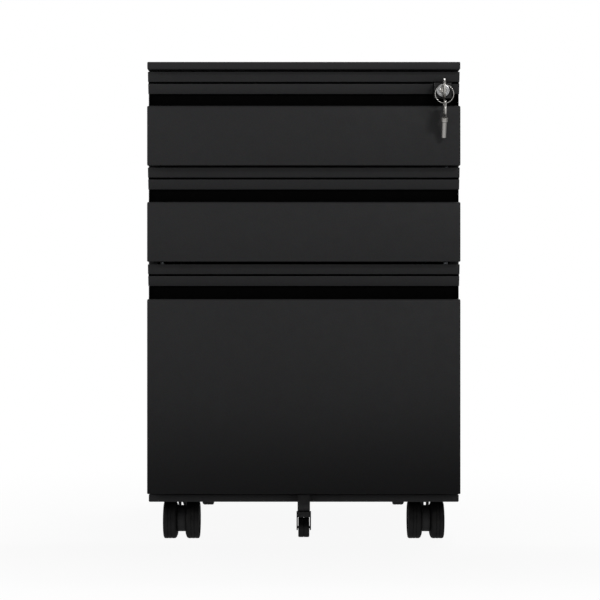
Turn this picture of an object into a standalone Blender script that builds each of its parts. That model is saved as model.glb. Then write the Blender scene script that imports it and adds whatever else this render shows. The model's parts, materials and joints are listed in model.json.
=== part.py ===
"""A steel three-drawer mobile filing cabinet: folded sheet carcass, drawers on
telescopic slides, a gang lock with its keys, and five casters.

Units are metres. +Z is up, the drawer fronts face -Y, and the origin is on the
floor at the middle of the whole object's bounding box.
"""

import math

import bmesh
import bpy
from mathutils import Matrix, Vector

# ---------------------------------------------------------------- driving sizes
WIDTH = 0.390
DEPTH = 0.450
HEIGHT = 0.600

SHEET = 0.0009
FIT = 0.0003
FOLD_RADIUS = 0.0012

# Carcass
BASE_HEM = 0.0096
TOP_HEM = 0.0094
PAN_LIP = 0.012
BASE_LIP = 0.003
SIDE_HEM = 0.012
TOP_SETBACK = 0.002
FRONT_TO_CARCASS = 0.001

# Drawer fronts. Each band's depths, and the groove's between them, are how far it
# stands forward of the front's back.
FRONT_DEPTH = 0.0212
SMALL_FRONT = 0.118
TOP_GAP = 0.0018
SMALL_GAP = 0.0018
FILE_GAP = 0.0030
BOTTOM_GAP = 0.0028
PULL_ZONE = 0.0435
SLOT_HEIGHT = 0.0166
LIP_RADIUS = 0.0035
LIP_RETURN = 0.0085
BAND_HEIGHT = 0.0122
BAND_A_TOP = 0.0102
BAND_A_LOW = 0.0077
BAND_B_TOP = 0.0062
BAND_B_LOW = 0.0030
GROOVE_FLOOR = 0.0022
TROUGH_DEPTH = 0.021
TROUGH_WALL = 0.0012
PLATE_MARGIN = 0.0015

# Trays
TRAY_SIDE_SPACE = 0.031
TRAY_LIFT = 0.006
SMALL_TRAY_DROP = 0.040
FILE_TRAY_DROP = 0.046
TRAY_BACK_SPACE = 0.022
RAIL_HEIGHT = 0.012
RAIL_FLANGE = 0.009
RAIL_SHEET = 0.0016
RAIL_END_SPACE = 0.012
RAIL_BACK_SPACE = 0.003

# Slides and the posts that carry them
SLIDE_SHEET = 0.0012
SLIDE_THICK = 0.0127
SMALL_SLIDE = 0.035
FILE_SLIDE = 0.045
SMALL_SLIDE_LIFT = 0.036
MEMBER_GAP = 0.0008
SLIDE_SETBACK = 0.013
POST_WIDTH = 0.022
POST_SETBACK = 0.015
POST_BEHIND_SLIDE = 0.0039

# Lock
LOCK_FROM_SIDE = 0.0215
LOCK_FROM_TOP = 0.0242
HOUSING_WIDTH = 0.022
HOUSING_HEIGHT = 0.0205
HOUSING_FRONT = 0.004
PLUG_RADIUS = 0.00815
PLUG_FRONT = 0.003
PLUG_TAIL = 0.0042
PLUG_CLEARANCE = 0.0004
CAM_RADIUS = 0.006
CAM_SHEET = 0.002
CAM_BOSS = 0.003
CAM_HUB = 0.0048
CAM_PIN = 0.00125
CAM_START = math.radians(45)
CAM_STEP = 20
PLUG_STEPS = 32
PIN_STEPS = 16
SLOT_CLEARANCE = 0.0006
CAM_TO_BAR = 0.0016
BAR_SHEET = 0.0025
BAR_WIDTH = 0.0042
BAR_EDGE = 0.0031
BAR_TAIL = 0.012
TAB_LENGTH = 0.009
TAB_HEIGHT = 0.006
TAB_LIFT = 0.001
CATCH_DROP = 0.042
CATCH_HEIGHT = 0.014
CATCH_SHEET = 0.0015
CATCH_FLOOR = 0.0045
CATCH_TIP = 0.004

# Keys
BOW_HALF_LENGTH = 0.0115
BOW_HALF_HEIGHT = 0.013
BOW_SHEET = 0.0026
KEY_HOLE_OUT = 0.0045
KEY_HOLE_SIDE = 0.006
KEY_HOLE_RADIUS = 0.0025
COLLAR_RADIUS = 0.0043
COLLAR_LENGTH = 0.006
BARREL_RADIUS = 0.0032
BARREL_LENGTH = 0.020
BARREL_BORE = 0.0021
BORE_RUNOUT = 0.0006
BOW_OVERLAP = 0.0015
RING_RADIUS = 0.0114
RING_WIRE = 0.0007
SPARE_TILT = math.radians(22.8)
BOW_STEPS = 28
SHANK_STEPS = 20
RING_STEPS = 28
WIRE_STEPS = 8

# Casters
CASTER_X = 0.040
FRONT_SWIVEL = 0.067
REAR_SWIVEL = 0.060
CASTER_TRAIL = 0.015
WHEEL_RADIUS = 0.024
WHEEL_WIDTH = 0.01745
WHEEL_SPACE = 0.0106
WHEEL_STEPS = 24
WHEEL_EDGE = 0.002
AXLE_RADIUS = 0.003
HOOD_RADIUS = 0.0160
HOOD_LIFT = 0.0010
HOOD_WIDTH = 0.0098
WHEEL_TO_BASE = 0.0014
AXLE_REACH = 0.0105
HUB_FACE = 0.0031
BOSS_LIFT = 0.0102
PLATE_RADIUS = 0.017
PLATE_SHEET = 0.0025
PEEP_WIDTH = 0.004
PEEP_HEIGHT = 0.006
PEEP_FROM_BASE = 0.0035

# Fifth caster, under the file drawer's front
FIFTH_WHEEL_RADIUS = 0.0123
FIFTH_FLOOR_GAP = 0.0078
FIFTH_WHEEL_WIDTH = 0.0138
FIFTH_FORK_SHEET = 0.0015
FIFTH_TRAIL = 0.004
FIFTH_SETBACK = 0.010
BRACKET_WIDTH = 0.0155
BRACKET_DEPTH = 0.012
FIFTH_CROWN = 0.0066

# ---------------------------------------------------------------- derived places
HALF = WIDTH / 2
BASE_BOTTOM = 2 * WHEEL_RADIUS + WHEEL_TO_BASE
PLUG_END = FRONT_DEPTH + FIT + SHEET + PLUG_TAIL
BAR_FRONT = PLUG_END + FIT + CAM_SHEET + CAM_TO_BAR
PEEP_TOP = BASE_BOTTOM - PEEP_FROM_BASE
BRACKET_BOTTOM = FIFTH_FLOOR_GAP + 2 * FIFTH_WHEEL_RADIUS + FIFTH_CROWN + 3 * FIT
BOW_CENTRE = PLUG_FRONT - FIT - COLLAR_LENGTH + BOW_OVERLAP - BOW_HALF_LENGTH
KEY_HOLE_DEPTH = BOW_CENTRE - KEY_HOLE_OUT
SPARE_BOW_Y = KEY_HOLE_OUT * math.sin(SPARE_TILT) - KEY_HOLE_SIDE * math.cos(SPARE_TILT)
SPARE_BOW_REACH = math.hypot(
    BOW_HALF_HEIGHT * math.cos(SPARE_TILT), BOW_HALF_LENGTH * math.sin(SPARE_TILT)
)
KEY_REACH = SPARE_BOW_REACH - SPARE_BOW_Y - KEY_HOLE_DEPTH
FACE_Y = (KEY_REACH - DEPTH) / 2
BACK_Y = FACE_Y + DEPTH
PLATE_Y = FACE_Y + FRONT_DEPTH + FIT
CARCASS_Y = PLATE_Y + SHEET + FRONT_TO_CARCASS
BASE_TOP = BASE_BOTTOM + BASE_HEM
SIDE_TOP = HEIGHT - TOP_HEM - FIT
TRAY_HALF = HALF - TRAY_SIDE_SPACE
SLIDE_IN = TRAY_HALF + FIT
SLIDE_OUT = SLIDE_IN + SLIDE_THICK
POST_IN = SLIDE_OUT + FIT
POST_OUT = HALF - SIDE_HEM - FIT
SLIDE_FRONT = CARCASS_Y + SLIDE_SETBACK
TRAY_BACK = BACK_Y - TRAY_BACK_SPACE
LOCK_X = HALF - LOCK_FROM_SIDE
HOUSING_BACK = FRONT_DEPTH - TROUGH_WALL - FIT

FRONT_TOPS = {
    "drawer_1": HEIGHT - TOP_HEM - TOP_GAP,
}
FRONT_TOPS["drawer_2"] = FRONT_TOPS["drawer_1"] - SMALL_FRONT - SMALL_GAP
FRONT_TOPS["drawer_3"] = FRONT_TOPS["drawer_2"] - SMALL_FRONT - FILE_GAP
FRONT_LOWS = {
    "drawer_1": FRONT_TOPS["drawer_1"] - SMALL_FRONT,
    "drawer_2": FRONT_TOPS["drawer_2"] - SMALL_FRONT,
    "drawer_3": BASE_TOP + BOTTOM_GAP,
}
LOCK_Z = FRONT_TOPS["drawer_1"] - LOCK_FROM_TOP
AXLE_Z = WHEEL_RADIUS * math.cos(math.pi / WHEEL_STEPS)
BOSS_BOTTOM = AXLE_Z + BOSS_LIFT

# Columns are where an outline's own x, y and normal point in the world.
ACROSS_X = Matrix(((0, 0, 1), (1, 0, 0), (0, 1, 0))).to_4x4()
ACROSS_Y = Matrix(((1, 0, 0), (0, 0, -1), (0, 1, 0))).to_4x4()
ACROSS_Z = Matrix.Identity(4)


# ---------------------------------------------------------------- scene and materials
def clear_scene():
    for obj in list(bpy.data.objects):
        bpy.data.objects.remove(obj, do_unlink=True)


def new_collection(name):
    collection = bpy.data.collections.new(name)
    bpy.context.scene.collection.children.link(collection)
    return collection


def new_material(name, colour, roughness, metallic=0.0):
    material = bpy.data.materials.new(name)
    material.use_nodes = True
    shader = material.node_tree.nodes["Principled BSDF"]
    shader.inputs["Base Color"].default_value = (*colour, 1.0)
    shader.inputs["Roughness"].default_value = roughness
    shader.inputs["Metallic"].default_value = metallic
    material.diffuse_color = (*colour, 1.0)
    return material


clear_scene()
PARTS = new_collection("filing_cabinet")
CUTTERS = new_collection("cutters")

PAINT = (0.021, 0.021, 0.022)
BLACK_PLASTIC = (0.006, 0.006, 0.006)
GREY_PLASTIC = (0.030, 0.030, 0.031)
ZINC = (0.52, 0.53, 0.54)
NICKEL = (0.62, 0.61, 0.58)


# ---------------------------------------------------------------- building helpers
def add_object(name, mesh, material, collection=PARTS):
    obj = bpy.data.objects.new(name, mesh)
    collection.objects.link(obj)
    if material:
        mesh.materials.append(material)
    return obj


def box_bmesh(low, high):
    low, high = Vector(low), Vector(high)
    mesh = bmesh.new()
    bmesh.ops.create_cube(mesh, size=1.0)
    bmesh.ops.scale(mesh, vec=high - low, verts=mesh.verts)
    bmesh.ops.translate(mesh, vec=(high + low) / 2, verts=mesh.verts)
    return mesh


def finish_bmesh(name, work, material, collection=PARTS):
    mesh = bpy.data.meshes.new(name)
    work.to_mesh(mesh)
    work.free()
    return add_object(name, mesh, material, collection)


def box(name, low, high, material, collection=PARTS):
    return finish_bmesh(name, box_bmesh(low, high), material, collection)


def cylinder(name, centre, radius, length, axis, steps, material, collection=PARTS):
    work = bmesh.new()
    bmesh.ops.create_cone(
        work, cap_ends=True, segments=steps, radius1=radius, radius2=radius, depth=length
    )
    turn = Vector((0, 0, 1)).rotation_difference(Vector(axis)).to_matrix().to_4x4()
    bmesh.ops.transform(work, matrix=Matrix.Translation(centre) @ turn, verts=work.verts)
    obj = finish_bmesh(name, work, material, collection)
    obj.data.shade_smooth()
    obj.data.set_sharp_from_angle(angle=math.radians(35))
    return obj


def flat_piece(name, outlines, frame, start, end, material, collection=PARTS):
    """A flat outline, with any holes after it, between two planes along its normal."""
    curve = bpy.data.curves.new(name, "CURVE")
    curve.dimensions = "2D"
    curve.fill_mode = "BOTH"
    curve.extrude = abs(end - start) / 2
    for outline in outlines:
        spline = curve.splines.new("POLY")
        spline.points.add(len(outline) - 1)
        for point, (x, y) in zip(spline.points, outline):
            point.co = (x, y, 0, 1)
        spline.use_cyclic_u = True
    guide = bpy.data.objects.new(name + "_outline", curve)
    collection.objects.link(guide)
    guide.matrix_world = frame @ Matrix.Translation((0, 0, (start + end) / 2))
    return as_mesh(guide, name, material, collection)


def as_mesh(guide, name, material, collection=PARTS):
    """Replaces a curve object with a closed mesh in world coordinates."""
    bpy.context.view_layer.update()
    graph = bpy.context.evaluated_depsgraph_get()
    mesh = bpy.data.meshes.new_from_object(guide.evaluated_get(graph))
    mesh.transform(guide.matrix_world)
    bpy.data.objects.remove(guide, do_unlink=True)
    work = bmesh.new()
    work.from_mesh(mesh)
    bmesh.ops.remove_doubles(work, verts=work.verts, dist=1e-6)
    bmesh.ops.recalc_face_normals(work, faces=work.faces)
    work.to_mesh(mesh)
    work.free()
    mesh.name = name
    return add_object(name, mesh, material, collection)


def circle(radius, steps, centre=(0, 0)):
    turns = [2 * math.pi * i / steps for i in range(steps)]
    return [(centre[0] + radius * math.cos(t), centre[1] + radius * math.sin(t)) for t in turns]


def turned(name, profile, steps, frame, material):
    """A solid of revolution about the frame's own Z, from (radius, height) points, top first."""
    mesh = bpy.data.meshes.new(name)
    points = [(radius, 0, height) for radius, height in profile]
    mesh.from_pydata(points, [(i, i + 1) for i in range(len(points) - 1)], [])
    obj = add_object(name, mesh, material)
    obj.matrix_world = frame
    screw = obj.modifiers.new("Turn", "SCREW")
    screw.steps = steps
    screw.render_steps = steps
    screw.use_merge_vertices = True
    screw.merge_threshold = 1e-5
    screw.use_smooth_shade = False
    return obj


def facing(face, direction):
    return face.normal.dot(Vector(direction)) > 0.9


def solidify(obj, thickness):
    """Sheet of the given thickness, laid inside the drawn surface."""
    sheet = obj.modifiers.new("Sheet", "SOLIDIFY")
    sheet.thickness = thickness
    sheet.offset = -1
    sheet.use_even_offset = True
    return sheet


def folded_pan(name, low, high, opening, lip, material, top_radius=0.0):
    """A box folded from sheet, open towards one direction, with its rim turned in by lip."""
    work = box_bmesh(low, high)
    face = next(face for face in work.faces if facing(face, opening))
    if lip:
        bmesh.ops.inset_individual(work, faces=[face], thickness=lip, use_even_offset=True)
    bmesh.ops.delete(work, geom=[face], context="FACES")
    if top_radius:
        front, top = min(v.co.y for v in work.verts), max(v.co.z for v in work.verts)
        edges = [
            edge for edge in work.edges
            if all(abs(v.co.y - front) < 1e-6 and abs(v.co.z - top) < 1e-6 for v in edge.verts)
        ]
        bmesh.ops.bevel(work, geom=edges, offset=top_radius, segments=4, profile=0.5, affect="EDGES")
    obj = finish_bmesh(name, work, material)
    fold = obj.modifiers.new("Folds", "BEVEL")
    fold.width = FOLD_RADIUS
    fold.segments = 2
    fold.limit_method = "ANGLE"
    fold.angle_limit = math.radians(50)
    solidify(obj, SHEET)
    return obj


def open_prism(name, outline, start, end, is_open, thickness, material):
    """A trough or strip: the outline, in (depth, height), run along X with its ends
    closed, the faces that is_open picks left out, and sheet laid inside the rest."""
    obj = flat_piece(name, [outline], ACROSS_X, start, end, material)
    work = bmesh.new()
    work.from_mesh(obj.data)
    bmesh.ops.dissolve_limit(work, angle_limit=0.01, verts=work.verts, edges=work.edges)
    work.normal_update()
    bmesh.ops.delete(work, geom=[face for face in work.faces if is_open(face)], context="FACES")
    work.to_mesh(obj.data)
    work.free()
    solidify(obj, thickness)
    return obj


def combine(obj, other, operation):
    """Joins a helper to a piece, or cuts it away, and keeps the result as the piece's mesh."""
    modifier = obj.modifiers.new(operation.title(), "BOOLEAN")
    modifier.operation = operation
    modifier.solver = "EXACT"
    modifier.object = other
    bpy.context.view_layer.update()
    graph = bpy.context.evaluated_depsgraph_get()
    mesh = bpy.data.meshes.new_from_object(obj.evaluated_get(graph))
    obj.modifiers.clear()
    obj.data = mesh
    bpy.data.objects.remove(other, do_unlink=True)
    return obj


def mirrored(low, high, side):
    """The same box on the right (side 1) or on the left (side -1)."""
    if side > 0:
        return low, high
    return (-high[0], *low[1:]), (-low[0], *high[1:])


def side_name(side):
    return "right" if side > 0 else "left"


# ---------------------------------------------------------------- carcass
def make_carcass():
    paint = new_material("painted_steel", PAINT, 0.5)
    top_front = FACE_Y + TOP_SETBACK
    top_low = (-HALF, top_front, HEIGHT - TOP_HEM)
    folded_pan("top_cover", top_low, (HALF, BACK_Y, HEIGHT), (0, 0, -1), PAN_LIP, paint)
    base_low = (-HALF, CARCASS_Y, BASE_BOTTOM)
    folded_pan("base_pan", base_low, (HALF, BACK_Y, BASE_TOP), (0, 0, -1), BASE_LIP, paint)
    back_front = BACK_Y - SHEET
    for side in (1, -1):
        low, high = mirrored(
            (HALF - SIDE_HEM, CARCASS_Y, BASE_TOP + FIT), (HALF, back_front - FIT, SIDE_TOP), side
        )
        folded_pan(side_name(side) + "_side_panel", low, high, (-side, 0, 0), PAN_LIP, paint)
    box("back_panel", (-HALF, back_front, BASE_TOP + FIT), (HALF, BACK_Y, SIDE_TOP), paint)


def make_posts():
    zinc = new_material("galvanised_posts", ZINC, 0.45, 1.0)
    front = SLIDE_FRONT + POST_BEHIND_SLIDE
    rear = BACK_Y - SHEET - POST_SETBACK - POST_WIDTH
    for side in (1, -1):
        for place, y in (("front", front), ("rear", rear)):
            outline = [
                (POST_OUT, y),
                (POST_IN, y),
                (POST_IN, y + POST_WIDTH),
                (POST_OUT, y + POST_WIDTH),
                (POST_OUT, y + POST_WIDTH - SLIDE_SHEET),
                (POST_IN + SLIDE_SHEET, y + POST_WIDTH - SLIDE_SHEET),
                (POST_IN + SLIDE_SHEET, y + SLIDE_SHEET),
                (POST_OUT, y + SLIDE_SHEET),
            ]
            outline = [(side * x, y) for x, y in outline]
            name = side_name(side) + "_" + place + "_post"
            flat_piece(name, [outline], ACROSS_Z, BASE_TOP + 2 * SHEET, SIDE_TOP - 2 * SHEET, zinc)


# ---------------------------------------------------------------- drawers
def make_front(drawer):
    paint = new_material(drawer + "_face_paint", PAINT, 0.5)
    low, top = FRONT_LOWS[drawer], FRONT_TOPS[drawer]
    face_top = top - PULL_ZONE
    face = folded_pan(
        drawer + "_front",
        (-HALF, FACE_Y, low),
        (HALF, FACE_Y + FRONT_DEPTH, face_top),
        (0, 1, 0),
        0,
        paint,
        LIP_RADIUS,
    )
    cut_half = HALF - SHEET - FIT
    cutter = box(
        "trough_cut",
        (-cut_half, FACE_Y + LIP_RETURN, face_top - LIP_RADIUS),
        (cut_half, FACE_Y + FRONT_DEPTH + FIT, face_top + LIP_RADIUS),
        None,
        CUTTERS,
    )
    combine(face, cutter, "DIFFERENCE")
    return face


def make_pull_strip(drawer):
    paint = new_material(drawer + "_strip_paint", PAINT, 0.5)
    top = FRONT_TOPS[drawer]
    back = FACE_Y + FRONT_DEPTH
    band_b_low = top - PULL_ZONE + SLOT_HEIGHT
    outline = [
        (back, band_b_low),
        (back - BAND_B_LOW, band_b_low),
        (back - BAND_B_TOP, band_b_low + BAND_HEIGHT),
        (back - GROOVE_FLOOR, band_b_low + BAND_HEIGHT),
        (back - GROOVE_FLOOR, top - BAND_HEIGHT),
        (back - BAND_A_LOW, top - BAND_HEIGHT),
        (back - BAND_A_TOP, top),
        (back, top),
    ]
    return open_prism(
        drawer + "_pull_strip", outline, -HALF, HALF,
        lambda face: facing(face, (0, 1, 0)), SHEET, paint,
    )


def make_trough(drawer):
    plastic = new_material(drawer + "_trough_plastic", BLACK_PLASTIC, 0.9)
    face_top = FRONT_TOPS[drawer] - PULL_ZONE
    under_lip = face_top - SHEET - FIT
    below_curl = face_top - LIP_RADIUS - FIT
    behind_lip = FACE_Y + LIP_RETURN + FIT
    front = FACE_Y + SHEET + FIT
    back = FACE_Y + FRONT_DEPTH
    strip_bottom = face_top + SLOT_HEIGHT - FIT
    strip_front = back - BAND_B_LOW
    ramp_low = face_top + SLOT_HEIGHT * LIP_RETURN / (FRONT_DEPTH - BAND_B_LOW)
    outline = [
        (front, face_top - TROUGH_DEPTH),
        (back, face_top - TROUGH_DEPTH),
        (back, strip_bottom),
        (strip_front, strip_bottom),
        (behind_lip, ramp_low),
        (behind_lip, under_lip),
        (FACE_Y + LIP_RADIUS, under_lip),
        (front, below_curl),
    ]

    def is_mouth(face):
        middle = face.calc_center_median()
        is_end = abs(face.normal.x) > 0.5
        return not is_end and middle.z > below_curl and middle.y < strip_front

    half = HALF - SHEET - 2 * FIT
    return open_prism(drawer + "_trough", outline, -half, half, is_mouth, TROUGH_WALL, plastic)


def make_tray(drawer):
    paint = new_material(drawer + "_tray_paint", PAINT, 0.5)
    low, top = FRONT_LOWS[drawer], FRONT_TOPS[drawer]
    drop = FILE_TRAY_DROP if drawer == "drawer_3" else SMALL_TRAY_DROP
    corner = (-TRAY_HALF, PLATE_Y + SHEET / 2, low + TRAY_LIFT)
    work = box_bmesh(corner, (TRAY_HALF, TRAY_BACK, top - drop))
    open_faces = [
        face for face in work.faces if facing(face, (0, 0, 1)) or facing(face, (0, -1, 0))
    ]
    bmesh.ops.delete(work, geom=open_faces, context="FACES")
    tray = finish_bmesh(drawer + "_tray", work, paint)
    solidify(tray, SHEET)
    plate_half = HALF - PLATE_MARGIN
    plate = box(
        "plate",
        (-plate_half, PLATE_Y, low + PLATE_MARGIN),
        (plate_half, PLATE_Y + SHEET, top - PLATE_MARGIN),
        None,
        CUTTERS,
    )
    combine(tray, plate, "UNION")
    return combine(tray, make_catch(top - CATCH_DROP), "UNION")


def make_catch(top):
    """A tab bent back from the plate, notched for the lock bar to drop into."""
    front = PLATE_Y + SHEET / 2
    notch_front = FACE_Y + BAR_FRONT - SLOT_CLEARANCE
    notch_back = FACE_Y + BAR_FRONT + BAR_SHEET + SLOT_CLEARANCE
    floor = top - CATCH_HEIGHT + CATCH_FLOOR
    outline = [
        (front, top - CATCH_HEIGHT),
        (notch_back + CATCH_TIP, top - CATCH_HEIGHT),
        (notch_back + CATCH_TIP, top),
        (notch_back, top),
        (notch_back, floor),
        (notch_front, floor),
        (notch_front, top),
        (front, top),
    ]
    centre = SLIDE_OUT - SLIDE_THICK / 2
    return flat_piece(
        "catch", [outline], ACROSS_X, centre - CATCH_SHEET / 2, centre + CATCH_SHEET / 2, None, CUTTERS
    )


def make_file_rails(tray_top):
    """L-shaped rails that hanging folders ride on, along the file tray's side walls."""
    zinc = new_material("file_rail_zinc", ZINC, 0.4, 1.0)
    for side in (1, -1):
        outer = TRAY_HALF
        inner = outer - RAIL_FLANGE
        base = tray_top + FIT
        outline = [
            (outer, base),
            (outer, base + RAIL_SHEET),
            (inner + RAIL_SHEET, base + RAIL_SHEET),
            (inner + RAIL_SHEET, base + RAIL_HEIGHT),
            (inner, base + RAIL_HEIGHT),
            (inner, base),
        ]
        outline = [(side * x, z) for x, z in outline]
        start = PLATE_Y + SHEET + RAIL_END_SPACE
        name = side_name(side) + "_file_rail"
        flat_piece(name, [outline], ACROSS_Y, -start, -(TRAY_BACK - RAIL_BACK_SPACE), zinc)


# ---------------------------------------------------------------- slides
def channel(name, web, tips, height, centre_z, start, end, material):
    """A C section: its web at x = web, its flanges reaching to x = tips."""
    inward = SLIDE_SHEET if tips > web else -SLIDE_SHEET
    top, low = centre_z + height / 2, centre_z - height / 2
    outline = [
        (web, low),
        (tips, low),
        (tips, low + SLIDE_SHEET),
        (web + inward, low + SLIDE_SHEET),
        (web + inward, top - SLIDE_SHEET),
        (tips, top - SLIDE_SHEET),
        (tips, top),
        (web, top),
    ]
    return flat_piece(name, [outline], ACROSS_Y, -start, -end, material)


def make_slides(drawer):
    zinc = new_material(drawer + "_slide_zinc", ZINC, 0.35, 1.0)
    low, top = FRONT_LOWS[drawer] + TRAY_LIFT, FRONT_TOPS[drawer]
    full = drawer == "drawer_3"
    height = FILE_SLIDE if full else SMALL_SLIDE
    centre = (low + top - FILE_TRAY_DROP) / 2 if full else low + SMALL_SLIDE_LIFT
    step = 2 * (SLIDE_SHEET + MEMBER_GAP)
    deep = SLIDE_THICK - SLIDE_SHEET - MEMBER_GAP
    for side in (1, -1):
        stem = drawer + "_" + side_name(side)
        inner_web = side * SLIDE_IN
        channel(stem + "_outer_slide", side * SLIDE_OUT, side * (SLIDE_OUT - deep), height, centre,
                SLIDE_FRONT, TRAY_BACK, zinc)
        if full:
            middle_web = side * (SLIDE_OUT - SLIDE_SHEET - MEMBER_GAP)
            middle_tip = side * (SLIDE_IN + SLIDE_SHEET + MEMBER_GAP)
            channel(stem + "_middle_slide", middle_web, middle_tip, height - step, centre,
                    SLIDE_FRONT, TRAY_BACK, zinc)
            inner_tip = side * (SLIDE_OUT - 2 * (SLIDE_SHEET + MEMBER_GAP))
            inner_height = height - 2 * step
        else:
            inner_tip = side * (SLIDE_OUT - SLIDE_SHEET - MEMBER_GAP)
            inner_height = height - step
        channel(stem + "_inner_slide", inner_web, inner_tip, inner_height, centre,
                SLIDE_FRONT, TRAY_BACK, zinc)


# ---------------------------------------------------------------- lock
def make_lock():
    plastic = new_material("lock_housing_plastic", BLACK_PLASTIC, 0.6)
    nickel = new_material("lock_plug_chrome", NICKEL, 0.2, 1.0)
    zinc = new_material("lock_cam_zinc", ZINC, 0.4, 1.0)
    low = (LOCK_X - HOUSING_WIDTH / 2, FACE_Y + HOUSING_FRONT, LOCK_Z - HOUSING_HEIGHT / 2)
    high = (
        LOCK_X + HOUSING_WIDTH / 2,
        FACE_Y + HOUSING_BACK,
        LOCK_Z + HOUSING_HEIGHT / 2,
    )
    housing = box("lock_housing", low, high, plastic)
    edges = housing.modifiers.new("Edges", "BEVEL")
    edges.width = FOLD_RADIUS
    edges.segments = 2
    combine(housing, lock_hole(PLUG_CLEARANCE), "DIFFERENCE")

    # (radius, height) along the plug, whose own Z points out of the face.
    length = PLUG_END - PLUG_FRONT
    bore = BARREL_RADIUS + PLUG_CLEARANCE
    bore_floor = length - BARREL_LENGTH - BORE_RUNOUT
    profile = [
        (0, bore_floor),
        (bore, bore_floor),
        (bore, length),
        (PLUG_RADIUS - FOLD_RADIUS / 2, length),
        (PLUG_RADIUS, length - FOLD_RADIUS / 2),
        (PLUG_RADIUS, 0),
        (0, 0),
    ]
    out_of_face = Matrix.Rotation(math.radians(90), 4, "X")
    place = Matrix.Translation((LOCK_X, FACE_Y + PLUG_END, LOCK_Z)) @ out_of_face
    turned("lock_plug", profile, PLUG_STEPS, place, nickel)
    make_cam(zinc)


def lock_hole(clearance):
    """A cutter that clears the plug from the face back to the carcass."""
    return cylinder("plug_hole", (LOCK_X, FACE_Y + FRONT_DEPTH / 2, LOCK_Z), PLUG_RADIUS + clearance,
                    2 * FRONT_DEPTH, (0, 1, 0), PLUG_STEPS, None, CUTTERS)


def housing_cut(back):
    """A cutter that clears the lock housing, from the face back to the given depth."""
    half_width = HOUSING_WIDTH / 2 + FIT
    half_height = HOUSING_HEIGHT / 2 + FIT
    return box(
        "housing_cut",
        (LOCK_X - half_width, FACE_Y - FIT, LOCK_Z - half_height),
        (LOCK_X + half_width, FACE_Y + back, LOCK_Z + half_height),
        None,
        CUTTERS,
    )


def cam_pin_centre():
    return LOCK_X + CAM_RADIUS * math.cos(CAM_START), LOCK_Z + CAM_RADIUS * math.sin(CAM_START)


def make_cam(material):
    """A lever on the plug's end, whose pin moves the lock bar."""
    pin_x, pin_z = cam_pin_centre()
    front = FACE_Y + PLUG_END + FIT
    back = front + CAM_SHEET
    turns = [CAM_START + math.radians(a) for a in range(-90, 91, CAM_STEP)]
    outline = [(pin_x + CAM_BOSS * math.cos(t), pin_z + CAM_BOSS * math.sin(t)) for t in turns]
    turns = [CAM_START + math.radians(a) for a in range(90, 271, CAM_STEP)]
    outline += [(LOCK_X + CAM_HUB * math.cos(t), LOCK_Z + CAM_HUB * math.sin(t)) for t in turns]
    cam = flat_piece("lock_cam", [outline], ACROSS_Y, -front, -back, material)
    pin_back = FACE_Y + BAR_FRONT + BAR_SHEET + CAM_PIN
    pin_front = front + CAM_SHEET / 2
    pin = cylinder("cam_pin", (pin_x, (pin_front + pin_back) / 2, pin_z), CAM_PIN,
                   pin_back - pin_front, (0, 1, 0), PIN_STEPS, None, CUTTERS)
    combine(cam, pin, "UNION")


def make_lock_bar():
    """A flat bar behind the drawers' right edges: the cam's pin slides it down, and
    its tabs drop into the drawers' catches."""
    zinc = new_material("lock_bar_zinc", ZINC, 0.4, 1.0)
    pin_x, pin_z = cam_pin_centre()
    outer = HALF - SIDE_HEM - 2 * FIT
    inner = outer - BAR_WIDTH
    tab_tip = inner - TAB_LENGTH
    arm_tip = LOCK_X - CAM_BOSS / 2
    slot_half = CAM_PIN + SLOT_CLEARANCE
    arm_half = slot_half + BAR_EDGE
    tab_lows = sorted(top - CATCH_DROP + TAB_LIFT for top in FRONT_TOPS.values())
    outline = [(outer, pin_z + arm_half), (outer, tab_lows[0] - BAR_TAIL)]
    outline += [(inner, tab_lows[0] - BAR_TAIL)]
    for low in tab_lows:
        high = low + TAB_HEIGHT
        outline += [(inner, low), (tab_tip, low), (tab_tip, high), (inner, high)]
    outline += [(inner, pin_z - arm_half), (arm_tip, pin_z - arm_half), (arm_tip, pin_z + arm_half)]
    slot_start = pin_x - slot_half
    slot_end = LOCK_X + CAM_RADIUS + slot_half
    slot = [
        (slot_start, pin_z - slot_half),
        (slot_end, pin_z - slot_half),
        (slot_end, pin_z + slot_half),
        (slot_start, pin_z + slot_half),
    ]
    front = FACE_Y + BAR_FRONT
    flat_piece("lock_bar", [outline, slot], ACROSS_Y, -front, -(front + BAR_SHEET), zinc)


# ---------------------------------------------------------------- keys
def key_mesh(name, frame, material):
    """A tubular key drawn about the hole in its bow: its axis runs along its own -Z,
    to the -Y side of the hole."""
    axis_y = -KEY_HOLE_SIDE
    bow_z = -KEY_HOLE_OUT
    round_bow = circle(1, BOW_STEPS)
    bow = [(axis_y + BOW_HALF_HEIGHT * y, bow_z + BOW_HALF_LENGTH * z) for y, z in round_bow]
    hole = circle(KEY_HOLE_RADIUS, PIN_STEPS)
    key = flat_piece(name, [bow, hole], ACROSS_X, -BOW_SHEET / 2, BOW_SHEET / 2, material)
    collar_top = bow_z - BOW_HALF_LENGTH + BOW_OVERLAP
    collar_low = collar_top - COLLAR_LENGTH
    for radius, top, low in (
        (COLLAR_RADIUS, collar_top, collar_low),
        (BARREL_RADIUS, collar_low + BOW_OVERLAP, collar_low - BARREL_LENGTH),
    ):
        piece = cylinder("key_shank", (0, axis_y, (top + low) / 2), radius, top - low, (0, 0, 1),
                         SHANK_STEPS, None, CUTTERS)
        combine(key, piece, "UNION")
    bore = cylinder("key_bore", (0, axis_y, collar_low - BARREL_LENGTH), BARREL_BORE,
                    BARREL_LENGTH, (0, 0, 1), PIN_STEPS, None, CUTTERS)
    combine(key, bore, "DIFFERENCE")
    key.matrix_world = frame
    return key


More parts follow.
